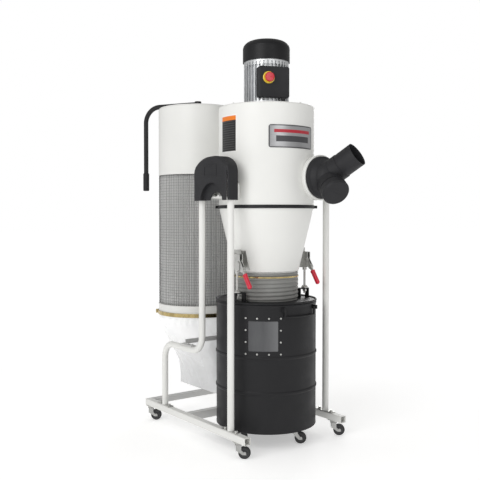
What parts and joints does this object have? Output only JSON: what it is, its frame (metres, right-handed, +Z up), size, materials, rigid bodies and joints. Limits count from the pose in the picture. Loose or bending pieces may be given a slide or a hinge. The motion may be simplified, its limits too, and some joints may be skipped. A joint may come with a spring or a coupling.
{
  "type": "cyclone dust collector",
  "caption": "Upright cyclone dust collector on a wheeled base: motor on top, cone over a roll-out drum, pleated filter with crank and bag behind.",
  "frame": {"origin": "centre of the bounding box in plan, on the floor under the casters", "axes": "+Z up, -Y to the front where the inlet points, +X to the machine's right"},
  "size_m": [0.602, 1.2178, 1.714],
  "materials": {
    "white_paint": "satin powder coat",
    "grey_paint": "satin powder coat",
    "zinc": "bright zinc",
    "black_paint": "satin powder coat",
    "black_plastic": "fine grained moulding",
    "cast_aluminium": "die cast",
    "steel": "turned",
    "nameplate_steel": "brushed",
    "label_film": "printed film, plain",
    "yellow_plastic": "gloss",
    "red_plastic": "gloss",
    "filter_cloth": "pleated spun cloth",
    "wire": "galvanised wire",
    "brass_band": "bright",
    "clear_film": "clear film",
    "hose_grey": "ribbed flexible",
    "smoked_window": "smoked",
    "wheel_rubber": "moulded"
  },
  "bodies": {
    "frame": {"base_rail_right": "white_paint", "base_rail_left": "white_paint", "cross_members": "grey_paint", "side_frame_right": "white_paint", "side_frame_left": "white_paint", "frame_fasteners": "zinc", "top_cover_right": "black_plastic", "top_cover_left": "black_plastic", "hanger_brackets": "white_paint", "cyclone_barrel": "white_paint", "inlet_duct": "white_paint", "cyclone_cone": "white_paint", "cone_band": "black_paint", "vortex_deck": "white_paint", "motor_plate": "white_paint", "outlet_duct": "white_paint", "nameplate": "nameplate_steel", "label": "label_film", "inlet_adapter": "black_plastic", "port_cap": "black_plastic", "motor_body": "cast_aluminium", "fan_cover": "black_paint", "switch_box": "black_plastic", "switch_ring": "yellow_plastic", "filter_housing": "white_paint", "filter_medium": "filter_cloth", "filter_cage": "wire", "filter_base_ring": "white_paint", "band_clamps": "brass_band", "collection_bag": "clear_film", "flex_hose": "hose_grey", "clamp_brackets": "white_paint"},
    "lid": {"lid": "black_paint", "lift_rods": "zinc"},
    "lever_left": {"lever_left": "zinc", "grip_left": "red_plastic"},
    "lever_right": {"lever_right": "zinc", "grip_right": "red_plastic"},
    "rotor": {"motor_rotor": "steel", "impeller": "cast_aluminium"},
    "stop_button": {"stop_button": "red_plastic"},
    "crank": {"filter_crank": "black_paint"},
    "drum": {"drum": "black_paint", "drum_window": "smoked_window", "window_screws": "zinc"},
    "drum_handle": {"drum_handle": "black_paint"},
    "swivel_fl": {"caster_fork_fl": "zinc"},
    "wheel_fl": {"caster_wheel_fl": "wheel_rubber"},
    "swivel_fr": {"caster_fork_fr": "zinc"},
    "wheel_fr": {"caster_wheel_fr": "wheel_rubber"},
    "swivel_rl": {"caster_fork_rl": "zinc"},
    "wheel_rl": {"caster_wheel_rl": "wheel_rubber"},
    "swivel_rr": {"caster_fork_rr": "zinc"},
    "wheel_rr": {"caster_wheel_rr": "wheel_rubber"},
    "drum_swivel_a": {"drum_fork_a": "zinc"},
    "drum_wheel_a": {"drum_wheel_a": "wheel_rubber"},
    "drum_swivel_b": {"drum_fork_b": "zinc"},
    "drum_wheel_b": {"drum_wheel_b": "wheel_rubber"},
    "drum_swivel_c": {"drum_fork_c": "zinc"},
    "drum_wheel_c": {"drum_wheel_c": "wheel_rubber"}
  },
  "joints": [
    {"name": "lid_lift", "type": "slide", "parent": "frame", "child": "lid", "axis": [0, 0, 1], "range_m": [0, 0.025], "deforming": ["flex_hose"]},
    {"name": "lever_left_turn", "type": "hinge", "parent": "frame", "child": "lever_left", "pos_m": [-0.19083, -0.25551, 0.776], "axis": [-1, 0, 0], "range_deg": [0, 101]},
    {"name": "lever_right_turn", "type": "hinge", "parent": "frame", "child": "lever_right", "pos_m": [0.18317, -0.25551, 0.776], "axis": [-1, 0, 0], "range_deg": [0, 101]},
    {"name": "motor_spin", "type": "hinge", "parent": "frame", "child": "rotor", "pos_m": [-0.00383, -0.19651, 1.5], "axis": [0, 0, 1], "continuous": true},
    {"name": "stop_press", "type": "slide", "parent": "frame", "child": "stop_button", "axis": [0.3584, 0.9336, 0], "range_m": [0, 0.005], "stiffness_N_per_m": 600},
    {"name": "crank_turn", "type": "hinge", "parent": "frame", "child": "crank", "pos_m": [-0.00383, 0.33399, 1.514], "axis": [0, 0, 1], "range_deg": [-155, 140]},
    {"name": "drum_roll_out", "type": "slide", "parent": "frame", "child": "drum", "axis": [0, -1, 0], "range_m": [0, 0.65]},
    {"name": "drum_handle_swing", "type": "hinge", "parent": "drum", "child": "drum_handle", "pos_m": [0.00879, -0.40288, 0.584], "axis": [-0.9981, -0.061, 0], "range_deg": [0, 100]},
    {"name": "swivel_fl_turn", "type": "hinge", "parent": "frame", "child": "swivel_fl", "pos_m": [-0.26583, -0.34651, 0.06], "axis": [0, 0, 1], "continuous": true},
    {"name": "wheel_fl_roll", "type": "hinge", "parent": "swivel_fl", "child": "wheel_fl", "pos_m": [-0.24654, -0.36078, 0.025], "axis": [0.5948, 0.8039, 0], "continuous": true},
    {"name": "swivel_fr_turn", "type": "hinge", "parent": "frame", "child": "swivel_fr", "pos_m": [0.25817, -0.34651, 0.06], "axis": [0, 0, 1], "continuous": true},
    {"name": "wheel_fr_roll", "type": "hinge", "parent": "swivel_fr", "child": "wheel_fr", "pos_m": [0.27746, -0.36078, 0.025], "axis": [0.5948, 0.8039, 0], "continuous": true},
    {"name": "swivel_rl_turn", "type": "hinge", "parent": "frame", "child": "swivel_rl", "pos_m": [-0.26583, 0.34349, 0.06], "axis": [0, 0, 1], "continuous": true},
    {"name": "wheel_rl_roll", "type": "hinge", "parent": "swivel_rl", "child": "wheel_rl", "pos_m": [-0.24654, 0.32922, 0.025], "axis": [0.5948, 0.8039, 0], "continuous": true},
    {"name": "swivel_rr_turn", "type": "hinge", "parent": "frame", "child": "swivel_rr", "pos_m": [0.25817, 0.34349, 0.06], "axis": [0, 0, 1], "continuous": true},
    {"name": "wheel_rr_roll", "type": "hinge", "parent": "swivel_rr", "child": "wheel_rr", "pos_m": [0.27746, 0.32922, 0.025], "axis": [0.5948, 0.8039, 0], "continuous": true},
    {"name": "drum_swivel_a_turn", "type": "hinge", "parent": "drum", "child": "drum_swivel_a", "pos_m": [0.044, -0.33233, 0.06], "axis": [0, 0, 1], "continuous": true},
    {"name": "drum_wheel_a_roll", "type": "hinge", "parent": "drum_swivel_a", "child": "drum_wheel_a", "pos_m": [0.06329, -0.34661, 0.025], "axis": [0.5948, 0.8039, 0], "continuous": true},
    {"name": "drum_swivel_b_turn", "type": "hinge", "parent": "drum", "child": "drum_swivel_b", "pos_m": [0.08988, -0.08717, 0.06], "axis": [0, 0, 1], "continuous": true},
    {"name": "drum_wheel_b_roll", "type": "hinge", "parent": "drum_swivel_b", "child": "drum_wheel_b", "pos_m": [0.10917, -0.10145, 0.025], "axis": [0.5948, 0.8039, 0], "continuous": true},
    {"name": "drum_swivel_c_turn", "type": "hinge", "parent": "drum", "child": "drum_swivel_c", "pos_m": [-0.14538, -0.17002, 0.06], "axis": [0, 0, 1], "continuous": true},
    {"name": "drum_wheel_c_roll", "type": "hinge", "parent": "drum_swivel_c", "child": "drum_wheel_c", "pos_m": [-0.12608, -0.18429, 0.025], "axis": [0.5948, 0.8039, 0], "continuous": true}
  ],
  "couplings": [
    {"joint": "lever_left_turn", "follows": "lid_lift", "rad_per_m": 69.813},
    {"joint": "lever_right_turn", "follows": "lid_lift", "rad_per_m": 69.813}
  ]
}
